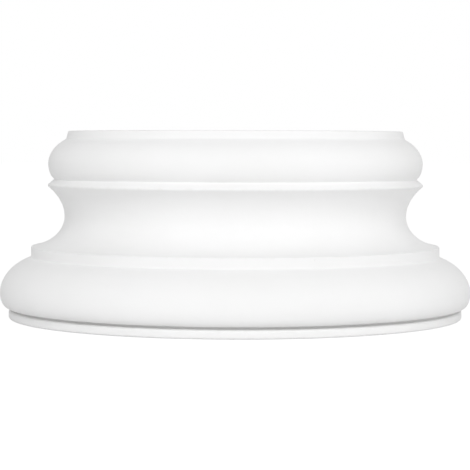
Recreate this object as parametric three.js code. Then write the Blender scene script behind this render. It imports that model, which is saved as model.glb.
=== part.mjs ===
// A round moulded base for a classical column, cast in one piece.
// Millimetres, +Z up. It stands on its underside, with the origin at the centre of that face.

import * as THREE from 'three';

// Driving dimensions.

// The flat top that carries the shaft. Everything else is set out from its edge: a projection is how
// far a member stands out beyond that edge, and a rise or height is counted from the member below.
const seatDiameter = 257.3;
const seatHeight = 6.2;
const seatFootProjection = 1.7;

// The flat disc that stands on the floor, with a softened lower edge and a slanted shoulder.
const soleProjection = 45.75;
const soleHeight = 6.8;
const soleEdge = 1;
const soleShoulder = 1.3;

// The narrow sunk line between the disc and the large half-round moulding.
const quirkDepth = 4.2;
const quirkHeight = 1.9;

// The large half-round moulding: its foot, which ends level, its widest line, and its head under the
// upright band. A sweep is how many degrees a curve has turned where it ends.
const lowerTorusFootProjection = 46.4;
const lowerTorusFootRise = 10.6;
const lowerTorusFootSweep = 90;
const lowerTorusProjection = 52.35;
const lowerTorusHeadRise = 27.25;
const lowerTorusHeadSweep = 67;

// The upright band between the large half-round moulding and the hollow.
const bandProjection = 28.65;
const bandHeight = 8.25;

// The hollow: its narrowest line, and its rise from the band to that line and on to its upper lip.
const hollowFootRise = 23;
const hollowFootSweep = 81;
const neckProjection = 3;
const hollowHeadRise = 23.05;
const hollowHeadSweep = 36;
const lipProjection = 15.8;

// The upright edge of the lip, and the slanted face over it that closes in to a sharp crease.
const lipHeight = 1.25;
const splayHeight = 4.2;
const splayInset = 5.1;

// The small half-round moulding, from the crease up to the seat.
const upperTorusFootRise = 11.5;
const upperTorusFootSweep = 70;
const upperTorusProjection = 15.4;
const upperTorusHeadRise = 19;
const upperTorusHeadSweep = 55;

// How finely the curves and the round are divided.
const curveSteps = 6;
const roundSteps = 96;

/** A point of the outline, from its projection beyond the seat's edge and its height. */
function point(projection, height) {
  return new THREE.Vector2(seatDiameter / 2 + projection, height);
}

/**
 * The points of an elliptic curve that stands upright at its first point, and has turned by sweep
 * degrees where it reaches its last one. Both ends are in the list.
 */
function curve(upright, end, sweep) {
  const angle = THREE.MathUtils.degToRad(sweep);
  const across = (end.x - upright.x) / (1 - Math.cos(angle));
  const along = (end.y - upright.y) / Math.sin(angle);
  const points = [];
  for (let step = 0; step <= curveSteps; step += 1) {
    const turned = (angle * step) / curveSteps;
    const x = upright.x + across * (1 - Math.cos(turned));
    const y = upright.y + along * Math.sin(turned);
    points.push(new THREE.Vector2(x, y));
  }
  return points;
}

/** A moulding that bulges or hollows: one curve below its upright line and one above it. */
function moulding(foot, footSweep, upright, head, headSweep) {
  const below = curve(upright, foot, footSweep).reverse();
  const above = curve(upright, head, headSweep).slice(1);
  return [...below, ...above];
}

/** The half outline of the base, from the centre of the underside to the centre of the top. */
function outline() {
  const quirkTop = soleHeight + quirkHeight;
  const lowerTorusLine = quirkTop + lowerTorusFootRise;
  const lowerTorusTop = lowerTorusLine + lowerTorusHeadRise;
  const bandTop = lowerTorusTop + bandHeight;
  const neckLine = bandTop + hollowFootRise;
  const lipLine = neckLine + hollowHeadRise;
  const splayLine = lipLine + lipHeight;
  const creaseLine = splayLine + splayHeight;
  const upperTorusLine = creaseLine + upperTorusFootRise;
  const upperTorusTop = upperTorusLine + upperTorusHeadRise;
  const top = upperTorusTop + seatHeight;

  const sole = [
    new THREE.Vector2(0, 0),
    point(soleProjection - soleEdge, 0),
    point(soleProjection, soleEdge),
    point(soleProjection, soleHeight - soleShoulder),
    point(soleProjection - soleShoulder, soleHeight),
  ];
  const quirkProjection = lowerTorusFootProjection - quirkDepth;
  const quirk = [point(quirkProjection, soleHeight), point(quirkProjection, quirkTop)];
  const lowerTorus = moulding(
    point(lowerTorusFootProjection, quirkTop),
    lowerTorusFootSweep,
    point(lowerTorusProjection, lowerTorusLine),
    point(bandProjection, lowerTorusTop),
    lowerTorusHeadSweep,
  );
  const hollow = moulding(
    point(bandProjection, bandTop),
    hollowFootSweep,
    point(neckProjection, neckLine),
    point(lipProjection, lipLine),
    hollowHeadSweep,
  );
  const lip = point(lipProjection, splayLine);
  const upperTorus = moulding(
    point(lipProjection - splayInset, creaseLine),
    upperTorusFootSweep,
    point(upperTorusProjection, upperTorusLine),
    point(seatFootProjection, upperTorusTop),
    upperTorusHeadSweep,
  );
  const seat = [point(0, top), new THREE.Vector2(0, top)];

  return [...sole, ...quirk, ...lowerTorus, ...hollow, lip, ...upperTorus, ...seat];
}

/** The base as one closed solid, turned so that its axis is +Z. */
function columnBase() {
  const geometry = new THREE.LatheGeometry(outline(), roundSteps);
  geometry.rotateX(Math.PI / 2);
  const whitePrimer = new THREE.MeshStandardMaterial({ color: 0xf2f2f0, roughness: 0.6, metalness: 0 });
  const mesh = new THREE.Mesh(geometry, whitePrimer);
  mesh.name = 'column_base';
  return mesh;
}

const part = new THREE.Group();
part.add(columnBase());

export default part;
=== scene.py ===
"""A white primed column base, moulded in one piece, in a plain white studio.

Metres, +Z up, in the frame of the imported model: the base stands on z = 0 with its axis on the Z axis.
"""

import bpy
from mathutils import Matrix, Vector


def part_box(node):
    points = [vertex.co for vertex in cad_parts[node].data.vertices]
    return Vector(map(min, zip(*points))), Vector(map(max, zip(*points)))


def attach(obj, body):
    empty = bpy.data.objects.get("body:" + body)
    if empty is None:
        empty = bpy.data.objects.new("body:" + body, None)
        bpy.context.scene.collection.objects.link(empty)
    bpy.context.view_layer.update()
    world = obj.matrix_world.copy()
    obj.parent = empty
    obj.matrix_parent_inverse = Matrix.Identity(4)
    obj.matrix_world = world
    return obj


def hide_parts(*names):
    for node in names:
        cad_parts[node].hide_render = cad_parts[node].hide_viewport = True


bl_info = {
    "name": "Moulded column base",
    "version": (1, 0, 0),
    "blender": (4, 5, 0),
    "location": "3D View > Sidebar > Column base",
    "description": "Builds a white primed column base and the studio around it",
    "category": "Object",
}

import math
from itertools import accumulate, chain

import bpy
from bpy.props import FloatProperty, FloatVectorProperty, IntProperty, PointerProperty
from mathutils import Vector

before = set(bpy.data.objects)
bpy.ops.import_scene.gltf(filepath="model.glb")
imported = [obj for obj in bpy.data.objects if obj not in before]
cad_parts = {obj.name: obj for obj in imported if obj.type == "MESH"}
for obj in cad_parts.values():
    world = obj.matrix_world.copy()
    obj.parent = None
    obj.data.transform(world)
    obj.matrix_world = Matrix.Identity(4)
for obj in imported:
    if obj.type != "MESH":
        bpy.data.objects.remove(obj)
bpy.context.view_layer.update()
SEAT_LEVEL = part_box("column_base")[1].z

MM = 0.001

# How finely each curve of the outline is divided.
CURVE_STEPS = 48

# The noises of the primer: how many repeats go to a metre, and how much finer detail each one carries.
CLOUD = (14.0, 3.0)
WAVES = (22.0, 1.0)
SMUDGE = (160.0, 4.0)
PEEL = (280.0, 1.0)
GRAIN = (800.0, 2.0)
NOISE_MIDDLE = 0.5

# The cells of the holes, as repeats to a metre, and how far from a cell's middle its hole starts and ends.
PORE_CELLS = 330.0
PORE_RIM = (0.05, 0.24)
PINHOLE_CELLS = 60.0
PINHOLE_RIM = (0.012, 0.028)

# The values of a noise between which a patch fades in.
PORE_PATCH = (0.45, 0.6)
PINHOLE_PATCH = (0.5, 0.6)
THIN_PATCH = (0.35, 0.75)
RUBBED_PATCH = (0.48, 0.62)

# How much foam shows in an open hole, and how even the dust and painted shade in the sunk line lie.
HOLE_SHOW = 0.6
DUST_AND_SHADE_EVENNESS = 0.6

# How much each of these makes the primer duller, or glossier on the arrises.
CLOUD_DULL = 0.1
ARRIS_GLOSS = 0.08
TRIMMED_DULL = 0.1
DUST_DULL = 0.2

PRIMER_IOR = 1.46
WHITE = (1.0, 1.0, 1.0, 1.0)


def length(name, description, default):
    """A size in metres, given here in millimetres."""
    return FloatProperty(
        name=name,
        description=description,
        default=default * MM,
        min=0.0,
        precision=5,
        subtype="DISTANCE",
        unit="LENGTH",
    )


def turn(name, description, default):
    """An angle in radians, given here in degrees."""
    return FloatProperty(
        name=name,
        description=description,
        default=math.radians(default),
        subtype="ANGLE",
        unit="ROTATION",
    )


def share(name, description, default):
    """A plain share from 0 to 1."""
    return FloatProperty(
        name=name,
        description=description,
        default=default,
        min=0.0,
        max=1.0,
        subtype="FACTOR",
    )


def colour(name, description, default):
    """A scene-linear colour."""
    return FloatVectorProperty(
        name=name,
        description=description,
        default=default,
        size=3,
        min=0.0,
        max=1.0,
        subtype="COLOR",
    )


def power(name, description, default):
    """The power of a light in watts."""
    return FloatProperty(
        name=name,
        description=description,
        default=default,
        min=0.0,
        subtype="POWER",
        unit="POWER",
    )


def brightness(name, description, default):
    """A brightness, where 1 is white."""
    return FloatProperty(name=name, description=description, default=default, min=0.0)


class OutlineSizes(bpy.types.PropertyGroup):
    """The members of the base. A projection counts from the seat's edge, a rise from the member below."""

    seat_diameter: length("Seat diameter", "Width of the flat top that carries the shaft", 257.3)
    seat_foot_projection: length("Seat foot projection", "How far the seat's band widens downwards", 1.7)
    sole_projection: length("Sole projection", "Edge of the flat disc on the floor", 45.75)
    sole_height: length("Sole height", "Height of the flat disc on the floor", 6.8)
    sole_edge: length("Sole edge", "Softening of the disc's lower edge", 1.0)
    sole_shoulder: length("Sole shoulder", "Slant of the disc's upper edge", 1.3)
    quirk_depth: length("Quirk depth", "Depth of the sunk line over the disc", 4.2)
    quirk_height: length("Quirk height", "Height of the sunk line over the disc", 1.9)
    lower_torus_foot_projection: length("Lower torus foot", "Foot of the large moulding", 46.4)
    lower_torus_foot_rise: length("Lower torus foot rise", "From its foot to its widest line", 10.6)
    lower_torus_foot_sweep: turn("Lower torus foot sweep", "How far it has turned at its foot", 90.0)
    lower_torus_projection: length("Lower torus projection", "Widest line of the large moulding", 52.35)
    lower_torus_head_rise: length("Lower torus head rise", "From its widest line to its head", 27.25)
    lower_torus_head_sweep: turn("Lower torus head sweep", "How far it has turned at its head", 67.0)
    band_projection: length("Band projection", "The upright band over the large moulding", 28.65)
    band_height: length("Band height", "The upright band over the large moulding", 8.25)
    hollow_foot_rise: length("Hollow foot rise", "From the band to the narrowest line", 23.0)
    hollow_foot_sweep: turn("Hollow foot sweep", "How far the hollow has turned at the band", 81.0)
    neck_projection: length("Neck projection", "The narrowest line of the hollow", 3.0)
    hollow_head_rise: length("Hollow head rise", "From the narrowest line to the lip", 23.05)
    hollow_head_sweep: turn("Hollow head sweep", "How far the hollow has turned at the lip", 36.0)
    lip_projection: length("Lip projection", "The sharp lip over the hollow", 15.8)
    lip_height: length("Lip height", "The upright edge of the lip", 1.25)
    splay_height: length("Splay height", "The slanted face from the lip in to the crease", 4.2)
    splay_inset: length("Splay inset", "From the lip in to the crease", 5.1)
    upper_torus_foot_rise: length("Upper torus foot rise", "From the crease to its widest line", 11.5)
    upper_torus_foot_sweep: turn("Upper torus foot sweep", "How far it has turned at the crease", 70.0)
    upper_torus_projection: length("Upper torus projection", "Widest line of the small moulding", 15.4)
    upper_torus_head_rise: length("Upper torus head rise", "From its widest line to the seat's band", 19.0)
    upper_torus_head_sweep: turn("Upper torus head sweep", "How far it has turned at its head", 55.0)
    primer_coat: length("Primer coat", "How far the coat of primer softens each arris", 0.85)
    around: IntProperty(name="Steps around", description="Divisions of the round", default=360, min=16)


class PrimerFinish(bpy.types.PropertyGroup):
    """The white factory primer on the hard foam."""

    white: colour("White", "The primer where the coat is full", (0.90, 0.90, 0.90))
    thin_white: colour("Thin white", "The primer where the coat is thinner", (0.88, 0.88, 0.878))
    foam: colour("Foam", "The hard foam under a rubbed arris and in a pore", (0.80, 0.79, 0.765))
    # This colour is both dust and painted shade in the sunk line and just over it.
    dust_and_shade_colour: colour("Dust", "What settles in the sunk line", (0.74, 0.735, 0.725))
    rub_amount: share("Rub amount", "How much foam shows on the arrises", 0.25)
    # This share sets both the dust and the painted shade in the sunk line.
    dust_and_shade_amount: share("Dust amount", "How much dust shows in the sunk line", 0.5)
    roughness: share("Roughness", "From 0, a mirror, to 1, chalk", 0.72)
    grain_depth: length("Grain depth", "Height of the fine spray grain", 0.012)
    peel_depth: length("Peel depth", "Height of the dimples left by the wet spray", 0.03)
    wave_depth: length("Wave depth", "Height of the slow waves left by the mould", 0.12)
    pore_depth: length("Pore depth", "Depth of the open pores of the foam", 0.25)


class StudioSetup(bpy.types.PropertyGroup):
    """The floor, the lights and the camera. A bearing counts to the right from straight in front."""

    floor_radius: length("Floor radius", "Size of the white floor", 12000.0)
    floor_gap: length("Floor gap", "How far the floor lies under the base", 0.2)
    floor_white: share("Floor white", "How much light the floor gives back", 0.9)
    floor_roughness: share("Floor roughness", "From 0, a mirror, to 1, chalk", 0.9)
    floor_glow: share("Floor glow", "How far the lens burns the floor out to white", 0.8)
    burnt_floor: brightness("Burnt floor", "Brightness of the burnt-out floor", 1.15)
    surround: brightness("Surround", "Brightness of the white room", 0.527)
    front_power: power("Front light", "The softbox over the camera", 16.9)
    front_rise: turn("Front light rise", "How far up the front softbox stands", 30.0)
    left_power: power("Left light", "The low softbox on the left", 3.1)
    right_power: power("Right light", "The low softbox on the right", 6.6)
    side_bearing: turn("Side light bearing", "From the front round to each side softbox", 90.0)
    side_rise: turn("Side light rise", "How far up the side softboxes stand", 10.0)
    light_size: length("Light size", "Side of each square softbox", 1000.0)
    light_distance: length("Light distance", "From the light aim to each softbox", 2000.0)
    light_aim: length("Light aim", "Height of the point that the softboxes face", 70.0)
    camera_distance: length("Camera distance", "From the axis of the base", 1408.6)
    camera_side: length("Camera side", "How far the camera stands to the left of the axis", 0.4)
    camera_height: length("Camera height", "Over the underside of the base", 132.4)
    camera_pitch: turn("Camera pitch", "How far the camera looks down", 2.825)
    camera_roll: turn("Camera roll", "How far the camera leans", 0.143)
    focal_length: FloatProperty(
        name="Focal length",
        description="Lens, in millimetres",
        default=139.45,
        min=1.0,
        subtype="DISTANCE_CAMERA",
        unit="CAMERA",
    )


def point(sizes, projection, height):
    """A point of the outline as (distance from the axis, height)."""
    return Vector((sizes.seat_diameter / 2 + projection, height))


def curve(upright, end, sweep):
    """An elliptic curve, upright at its first point, that has turned by sweep at its last one."""
    across = (end.x - upright.x) / (1 - math.cos(sweep))
    along = (end.y - upright.y) / math.sin(sweep)
    points = []
    for step in range(CURVE_STEPS + 1):
        turned = sweep * step / CURVE_STEPS
        x = upright.x + across * (1 - math.cos(turned))
        y = upright.y + along * math.sin(turned)
        points.append(Vector((x, y)))
    return points


def moulding(foot, foot_sweep, upright, head, head_sweep):
    """A moulding that bulges or hollows: one curve below its upright line and one above it."""
    return curve(upright, foot, foot_sweep)[::-1] + curve(upright, head, head_sweep)[1:]


def outline(sizes, top):
    """The sharp half outline, from the centre of the underside to the centre of the flat top."""
    quirk_top = sizes.sole_height + sizes.quirk_height
    lower_torus_line = quirk_top + sizes.lower_torus_foot_rise
    lower_torus_top = lower_torus_line + sizes.lower_torus_head_rise
    band_top = lower_torus_top + sizes.band_height
    neck_line = band_top + sizes.hollow_foot_rise
    lip_line = neck_line + sizes.hollow_head_rise
    splay_line = lip_line + sizes.lip_height
    crease_line = splay_line + sizes.splay_height
    upper_torus_line = crease_line + sizes.upper_torus_foot_rise
    upper_torus_top = upper_torus_line + sizes.upper_torus_head_rise
    if upper_torus_top >= top:
        raise ValueError("the members are higher than the packed base")

    quirk_projection = sizes.lower_torus_foot_projection - sizes.quirk_depth
    points = [
        Vector((0, 0)),
        point(sizes, sizes.sole_projection - sizes.sole_edge, 0),
        point(sizes, sizes.sole_projection, sizes.sole_edge),
        point(sizes, sizes.sole_projection, sizes.sole_height - sizes.sole_shoulder),
        point(sizes, sizes.sole_projection - sizes.sole_shoulder, sizes.sole_height),
        point(sizes, quirk_projection, sizes.sole_height),
        point(sizes, quirk_projection, quirk_top),
    ]
    points += moulding(
        point(sizes, sizes.lower_torus_foot_projection, quirk_top),
        sizes.lower_torus_foot_sweep,
        point(sizes, sizes.lower_torus_projection, lower_torus_line),
        point(sizes, sizes.band_projection, lower_torus_top),
        sizes.lower_torus_head_sweep,
    )
    points += moulding(
        point(sizes, sizes.band_projection, band_top),
        sizes.hollow_foot_sweep,
        point(sizes, sizes.neck_projection, neck_line),
        point(sizes, sizes.lip_projection, lip_line),
        sizes.hollow_head_sweep,
    )
    points.append(point(sizes, sizes.lip_projection, splay_line))
    points += moulding(
        point(sizes, sizes.lip_projection - sizes.splay_inset, crease_line),
        sizes.upper_torus_foot_sweep,
        point(sizes, sizes.upper_torus_projection, upper_torus_line),
        point(sizes, sizes.seat_foot_projection, upper_torus_top),
        sizes.upper_torus_head_sweep,
    )
    return points + [point(sizes, 0, top), Vector((0, top))]


def evenly(points, pitch):
    """The same line with a point every pitch."""
    spaced = [points[0]]
    left = pitch
    for start, end in zip(points, points[1:]):
        run = (end - start).length
        done = 0.0
        while run - done >= left:
            done += left
            spaced.append(start.lerp(end, done / run))
            left = pitch
        left -= run - done
    return spaced + [points[-1]]


def averaged(points, reach):
    """Each point moved to the mean of the points up to reach places away on both sides."""
    across = [0.0, *accumulate(place.x for place in points)]
    upward = [0.0, *accumulate(place.y for place in points)]
    last = len(points) - 1
    means = []
    for index in range(len(points)):
        near = min(reach, index, last - index)
        low = index - near
        high = index + near + 1
        count = high - low
        means.append(Vector(((across[high] - across[low]) / count, (upward[high] - upward[low]) / count)))
    return means


def relief(points, reach):
    """How far the line lies inside its own mean: over zero in a hollow, under zero on an arris."""
    depths = []
    last = len(points) - 1
    for index, (place, mean) in enumerate(zip(points, averaged(points, reach))):
        along = points[min(index + 1, last)] - points[max(index - 1, 0)]
        outward = Vector((along.y, -along.x)).normalized()
        depths.append((mean - place).dot(outward))
    return depths


def chosen(points, gap, bend, beside):
    """Indices of the points that draw the line: one each gap places, more in a bend and just beside it."""
    turns = [0.0]
    for before, place, after in zip(points, points[1:], points[2:]):
        turns.append(abs((place - before).angle_signed(after - place, 0.0)))
    turns.append(0.0)
    keep = [0]
    due = 0.0
    for index in range(1, len(points) - 1):
        nearby = turns[max(0, index - beside):index + beside + 1]
        due += 1 / gap + sum(nearby) / len(nearby) / bend
        if due >= 1:
            keep.append(index)
            due = 0.0
    return keep + [len(points) - 1]


class TextureLayout:
    """Places on the square texture: the moulded sides as one strip, and the two flats as discs above it."""

    # Shares of the square's side: the gap at its edges, the strip's height, the radius of the underside's
    # disc, and how far across the middle of each disc lies.
    MARGIN = 0.005
    STRIP = 0.56
    DISC = 0.21
    UNDERSIDE_MIDDLE = 0.25
    SEAT_MIDDLE = 0.75

    def __init__(self, points, flats, around):
        self.points = points
        self.around = around
        self.foot = flats.index(0.0) - 1
        self.seat = len(flats) - flats[::-1].index(0.0)
        self.widest = points[self.foot].x
        steps = ((end - start).length for start, end in zip(points, points[1:]))
        self.lengths = [0.0, *accumulate(steps)]

    def on_strip(self, index, step):
        """The place of a point of the moulded sides."""
        side = self.lengths[self.seat] - self.lengths[self.foot]
        up = (self.lengths[index] - self.lengths[self.foot]) / side
        along = (1 - 2 * self.MARGIN) * step / self.around
        return (self.MARGIN + along, self.MARGIN + self.STRIP * up)

    def on_disc(self, index, step, middle):
        """The place of a point of a flat face."""
        angle = 2 * math.pi * step / self.around
        reach = self.DISC * self.points[index].x / self.widest
        level = 1 - self.DISC - 2 * self.MARGIN
        return (middle + reach * math.sin(angle), level + reach * math.cos(angle))

    def places(self, corners):
        """The places of one face's corners, each given as (index of its point, step around)."""
        first = min(index for index, step in corners)
        if first < self.foot:
            return [self.on_disc(index, step, self.UNDERSIDE_MIDDLE) for index, step in corners]
        if first >= self.seat:
            return [self.on_disc(index, step, self.SEAT_MIDDLE) for index, step in corners]
        return [self.on_strip(index, step) for index, step in corners]


class Wire:
    """A shader socket in a Python expression: maths on it adds Math nodes to its tree."""

    # The Mix node has several sockets of one name, so its two colours and its mixed colour go by number.
    FIRST_COLOUR = 6
    SECOND_COLOUR = 7
    MIXED_COLOUR = 2

    def __init__(self, tree, socket=None):
        self.tree = tree
        self.socket = socket

    def node(self, kind, settings=None, sockets=None, output=0):
        """Adds a node: first its settings, then the values or links of its sockets."""
        made = self.tree.nodes.new(kind)
        for name, value in (settings or {}).items():
            setattr(made, name, value)
        for name, value in (sockets or {}).items():
            if isinstance(value, Wire):
                self.tree.links.new(value.socket, made.inputs[name])
            else:
                made.inputs[name].default_value = value
        return Wire(self.tree, made.outputs[output] if made.outputs else None)

    def maths(self, operation, first, second=0.0, clamp=False):
        """Adds a Math node."""
        settings = {"operation": operation, "use_clamp": clamp}
        return self.node("ShaderNodeMath", settings, {0: first, 1: second})

    def __add__(self, other):
        return self.maths("ADD", self, other)

    __radd__ = __add__

    def __sub__(self, other):
        return self.maths("SUBTRACT", self, other)

    def __rsub__(self, other):
        return self.maths("SUBTRACT", other, self)

    def __mul__(self, other):
        return self.maths("MULTIPLY", self, other)

    __rmul__ = __mul__

    def clamped(self):
        """The value held between 0 and 1."""
        return self.maths("ADD", self, 0.0, clamp=True)

    def between(self, low, high):
        """0 where the value is under low, 1 over high, and a smooth step between them."""
        sockets = {"Value": self, "From Min": low, "From Max": high}
        return self.node("ShaderNodeMapRange", {"interpolation_type": "SMOOTHSTEP"}, sockets)

    def mixed(self, first, second):
        """One colour where the value is 0 and the other where it is 1."""
        sockets = {0: self, self.FIRST_COLOUR: first, self.SECOND_COLOUR: second}
        return self.node("ShaderNodeMix", {"data_type": "RGBA"}, sockets, self.MIXED_COLOUR)


def shader_tree(owner):
    """An empty node tree on a material or world, wrapped for expressions."""
    owner.use_nodes = True
    owner.node_tree.nodes.clear()
    return Wire(owner.node_tree)


def four(linear):
    """A property's colour with full opacity."""
    return (*linear, 1.0)


def primer_material(finish):
    """Sprayed white primer: cloudy by a hair, dimpled, rubbed on the arrises, and dusty and darkened with
    painted shade in the sunk line and just over it.
    """
    material = bpy.data.materials.new("white_primer")
    tree = shader_tree(material)
    place = tree.node("ShaderNodeTexCoord", output="Object")

    def mark(name):
        return tree.node("ShaderNodeAttribute", {"attribute_name": name}, output="Fac")

    def noise(scale, detail):
        return tree.node("ShaderNodeTexNoise", sockets={"Vector": place, "Scale": scale, "Detail": detail})

    def cells(scale):
        return tree.node("ShaderNodeTexVoronoi", {"feature": "F1"}, {"Vector": place, "Scale": scale})

    sunk = mark("sunk")
    arris = mark("arris")
    trimmed = mark("trimmed")
    cloud = noise(*CLOUD)
    waves = noise(*WAVES)
    smudge = noise(*SMUDGE)
    peel = noise(*PEEL)
    grain = noise(*GRAIN)

    sawn = (1.0 - cells(PORE_CELLS).between(*PORE_RIM)) * smudge.between(*PORE_PATCH) * trimmed
    burst = (1.0 - cells(PINHOLE_CELLS).between(*PINHOLE_RIM)) * cloud.between(*PINHOLE_PATCH)
    holes = (sawn + burst).clamped()

    coat = cloud.between(*THIN_PATCH).mixed(four(finish.white), four(finish.thin_white))
    rubbed = arris * smudge.between(*RUBBED_PATCH) * finish.rub_amount
    worn = (rubbed + holes * HOLE_SHOW).clamped().mixed(coat, four(finish.foam))
    # Dust and painted shade: darker in the sunk line over the disc, with a fading painted shade just over
    # it.
    dust_and_shade = (sunk * (smudge + DUST_AND_SHADE_EVENNESS)).clamped() * finish.dust_and_shade_amount
    base = dust_and_shade.mixed(worn, four(finish.dust_and_shade_colour))

    cloudy = finish.roughness + CLOUD_DULL * (cloud - NOISE_MIDDLE)
    rough = cloudy - ARRIS_GLOSS * arris + TRIMMED_DULL * trimmed + DUST_DULL * dust_and_shade
    sprayed = waves * finish.wave_depth + peel * finish.peel_depth + grain * finish.grain_depth
    height = sprayed - holes * finish.pore_depth
    bump = tree.node("ShaderNodeBump", sockets={"Strength": 1.0, "Distance": 1.0, "Height": height})
    surface = tree.node(
        "ShaderNodeBsdfPrincipled",
        sockets={"Base Color": base, "Roughness": rough.clamped(), "Normal": bump, "IOR": PRIMER_IOR},
    )
    tree.node("ShaderNodeOutputMaterial", sockets={"Surface": surface})
    return material


def link(thing):
    """Puts an object into the scene."""
    bpy.context.scene.collection.objects.link(thing)
    return thing


class COLUMNBASE_OT_casting(bpy.types.Operator):
    """The whole base, turned from its outline in one piece"""

    bl_idname = "columnbase.casting"
    bl_label = "Casting"

    # The outline is first drawn with a point every PITCH.
    PITCH = 0.1 * MM

    # The mesh then keeps one point in GAP, and one more for each BEND that the line turns. Each turn is
    # spread over BESIDE points on both sides.
    GAP = 50
    BEND = math.radians(9)
    BESIDE = 8

    # An arris stands out from the mean of the outline up to ARRIS_REACH away. It is marked in full where it
    # stands out by ARRIS_HEIGHT.
    ARRIS_REACH = 1.5 * MM
    ARRIS_HEIGHT = 0.3 * MM

    # The share of painted shade that lies just over the sunk line, on the foot of the large moulding, and
    # how far up it fades out.
    PAINTED_SHADE_OVER_LINE = 0.35
    PAINTED_SHADE_REACH = 5 * MM

    # How far from the level of a flat a point still counts as part of it.
    FLAT = 0.02 * MM

    def execute(self, context):
        sizes = context.scene.column_base_sizes
        even = evenly(outline(sizes, SEAT_LEVEL), self.PITCH)
        reach = round(sizes.primer_coat / self.PITCH)
        soft = averaged(averaged(even, reach), reach // 2)
        depths = relief(soft, round(self.ARRIS_REACH / self.PITCH))
        keep = chosen(soft, self.GAP, self.BEND, self.BESIDE)
        marks = {
            # The sunk mark carries dust and painted shade in the sunk line, and painted shade just over it.
            "sunk": [self.sunk(sizes, soft[index]) for index in keep],
            "arris": [min(1.0, max(0.0, -depths[index] / self.ARRIS_HEIGHT)) for index in keep],
            "trimmed": [self.trimmed(soft[index]) for index in keep],
        }
        casting = self.turned([soft[index] for index in keep], sizes.around, marks)
        casting.data.materials.append(primer_material(context.scene.column_base_finish))
        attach(casting, "root")
        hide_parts("column_base")
        return {"FINISHED"}

    def sunk(self, sizes, place):
        """How deep the point lies in the sunk line over the disc, which takes dust and painted shade, with
        a fading rest of painted shade just over the line.
        """
        edge = sizes.primer_coat / 2
        over = place.y - sizes.sole_height - sizes.quirk_height - edge
        if over > 0:
            return self.PAINTED_SHADE_OVER_LINE * max(0.0, 1 - over / self.PAINTED_SHADE_REACH)
        if place.y < sizes.sole_height - edge:
            return 0.0
        mouth = sizes.seat_diameter / 2 + sizes.lower_torus_foot_projection
        return min(1.0, max(self.PAINTED_SHADE_OVER_LINE, (mouth - place.x) / sizes.quirk_depth))

    def trimmed(self, place):
        """1 on the two cut flats and 0 on the moulded sides."""
        return float(place.y < self.FLAT or place.y > SEAT_LEVEL - self.FLAT)

    @staticmethod
    def turned(points, around, marks):
        """The outline turned about the Z axis. It starts and ends on the axis."""
        last = len(points) - 1
        vertices = [(0.0, 0.0, points[0].y)]
        for ring in points[1:-1]:
            for step in range(around):
                angle = 2 * math.pi * step / around
                vertices.append((ring.x * math.sin(angle), -ring.x * math.cos(angle), ring.y))
        vertices.append((0.0, 0.0, points[-1].y))

        def vertex(index, step):
            if index == 0:
                return 0
            if index == last:
                return len(vertices) - 1
            return 1 + (index - 1) * around + step % around

        layout = TextureLayout(points, marks["trimmed"], around)
        faces = []
        places = []
        for index in range(last):
            for step in range(around):
                corners = [(index, step), (index, step + 1), (index + 1, step + 1), (index + 1, step)]
                if index == 0:
                    del corners[0]
                if index == last - 1:
                    del corners[-1]
                faces.append([vertex(*corner) for corner in corners])
                places += layout.places(corners)

        mesh = bpy.data.meshes.new("casting")
        mesh.from_pydata(vertices, [], faces)
        mesh.uv_layers.new(name="OFBake").uv.foreach_set("vector", list(chain.from_iterable(places)))
        for name, values in marks.items():
            spread = [values[0]]
            for value in values[1:-1]:
                spread += [value] * around
            spread.append(values[-1])
            mesh.attributes.new(name, "FLOAT", "POINT").data.foreach_set("value", spread)
        mesh.shade_smooth()
        return link(bpy.data.objects.new("casting", mesh))


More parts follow.
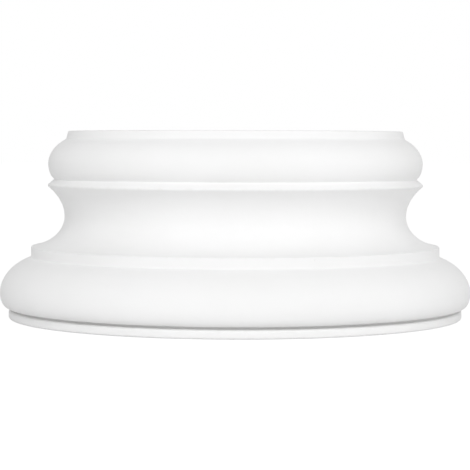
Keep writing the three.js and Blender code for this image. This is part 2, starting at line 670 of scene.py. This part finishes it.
class COLUMNBASE_OT_studio(bpy.types.Operator):
    """The white floor, the soft lights and the camera"""

    bl_idname = "columnbase.studio"
    bl_label = "Studio"

    FLOOR_STEPS = 96

    # The camera's sensor in millimetres, and the tilt at which it looks level.
    SENSOR_WIDTH = 36.0
    LEVEL = math.radians(90)

    def execute(self, context):
        setup = context.scene.column_base_studio
        self.floor(setup)
        self.surround(context.scene, setup)
        self.softbox(setup, "front_light", setup.front_power, 0.0, setup.front_rise)
        self.softbox(setup, "left_light", setup.left_power, -setup.side_bearing, setup.side_rise)
        self.softbox(setup, "right_light", setup.right_power, setup.side_bearing, setup.side_rise)
        self.camera(context.scene, setup)
        context.scene.view_settings.view_transform = "Standard"
        return {"FINISHED"}

    def floor(self, setup):
        """A white floor that the lens burns out. It lights the base as a plain white floor does."""
        rim = []
        for step in range(self.FLOOR_STEPS):
            angle = 2 * math.pi * step / self.FLOOR_STEPS
            rim.append((setup.floor_radius * math.cos(angle), setup.floor_radius * math.sin(angle), 0.0))
        mesh = bpy.data.meshes.new("floor")
        mesh.from_pydata(rim, [], [tuple(range(self.FLOOR_STEPS))])
        floor = link(bpy.data.objects.new("floor", mesh))
        floor.location.z = -setup.floor_gap

        material = bpy.data.materials.new("white_floor")
        tree = shader_tree(material)
        sheet = tree.node(
            "ShaderNodeBsdfPrincipled",
            sockets={"Base Color": four((setup.floor_white,) * 3), "Roughness": setup.floor_roughness},
        )
        burnt = tree.node("ShaderNodeEmission", sockets={"Color": WHITE, "Strength": setup.burnt_floor})
        burn = tree.node("ShaderNodeLightPath", output="Is Camera Ray") * setup.floor_glow
        surface = tree.node("ShaderNodeMixShader", sockets={0: burn, 1: sheet, 2: burnt})
        tree.node("ShaderNodeOutputMaterial", sockets={"Surface": surface})
        mesh.materials.append(material)

    @staticmethod
    def surround(scene, setup):
        """A room that lights the base softly from all sides and is plain white to the lens."""
        world = bpy.data.worlds.new("white_room")
        tree = shader_tree(world)
        straight = tree.node("ShaderNodeLightPath", output="Is Camera Ray")
        strength = straight + (1.0 - straight) * setup.surround
        background = tree.node("ShaderNodeBackground", sockets={"Color": WHITE, "Strength": strength})
        tree.node("ShaderNodeOutputWorld", sockets={"Surface": background})
        scene.world = world

    @staticmethod
    def softbox(setup, name, watts, bearing, rise):
        """A square softbox that faces the base from a bearing and a rise."""
        light = bpy.data.lights.new(name, "AREA")
        light.shape = "SQUARE"
        light.size = setup.light_size
        light.energy = watts
        aim = Vector((0.0, 0.0, setup.light_aim))
        across = math.cos(rise)
        away = Vector((math.sin(bearing) * across, -math.cos(bearing) * across, math.sin(rise)))
        lamp = link(bpy.data.objects.new(name, light))
        lamp.location = aim + setup.light_distance * away
        lamp.rotation_euler = (-away).to_track_quat("-Z", "Y").to_euler()

    def camera(self, scene, setup):
        """The photographer's camera, straight in front and almost level."""
        camera = bpy.data.cameras.new("camera")
        camera.sensor_width = self.SENSOR_WIDTH
        camera.lens = setup.focal_length
        holder = link(bpy.data.objects.new("camera", camera))
        holder.location = (-setup.camera_side, -setup.camera_distance, setup.camera_height)
        holder.rotation_euler = (self.LEVEL - setup.camera_pitch, -setup.camera_roll, 0.0)
        scene.camera = holder


class COLUMNBASE_PT_panel(bpy.types.Panel):
    """The pieces of the scene, in the order in which they are made"""

    bl_idname = "COLUMNBASE_PT_panel"
    bl_label = "Column base"
    bl_space_type = "VIEW_3D"
    bl_region_type = "UI"
    bl_category = "Column base"

    def draw(self, context):
        for operator in OPERATORS:
            self.layout.operator(operator.bl_idname)


GROUPS = {
    "column_base_sizes": OutlineSizes,
    "column_base_finish": PrimerFinish,
    "column_base_studio": StudioSetup,
}
OPERATORS = (COLUMNBASE_OT_casting, COLUMNBASE_OT_studio)
CLASSES = (*GROUPS.values(), *OPERATORS, COLUMNBASE_PT_panel)


def register():
    """Gives Blender the classes and the scene its settings."""
    for made in CLASSES:
        bpy.utils.register_class(made)
    for name, group in GROUPS.items():
        setattr(bpy.types.Scene, name, PointerProperty(type=group))


def unregister():
    """Takes back what register gave."""
    for name in GROUPS:
        delattr(bpy.types.Scene, name)
    for made in reversed(CLASSES):
        bpy.utils.unregister_class(made)


def main():
    """Builds the scene."""
    register()
    bpy.ops.columnbase.casting()
    bpy.ops.columnbase.studio()


if __name__ == "__main__":
    main()
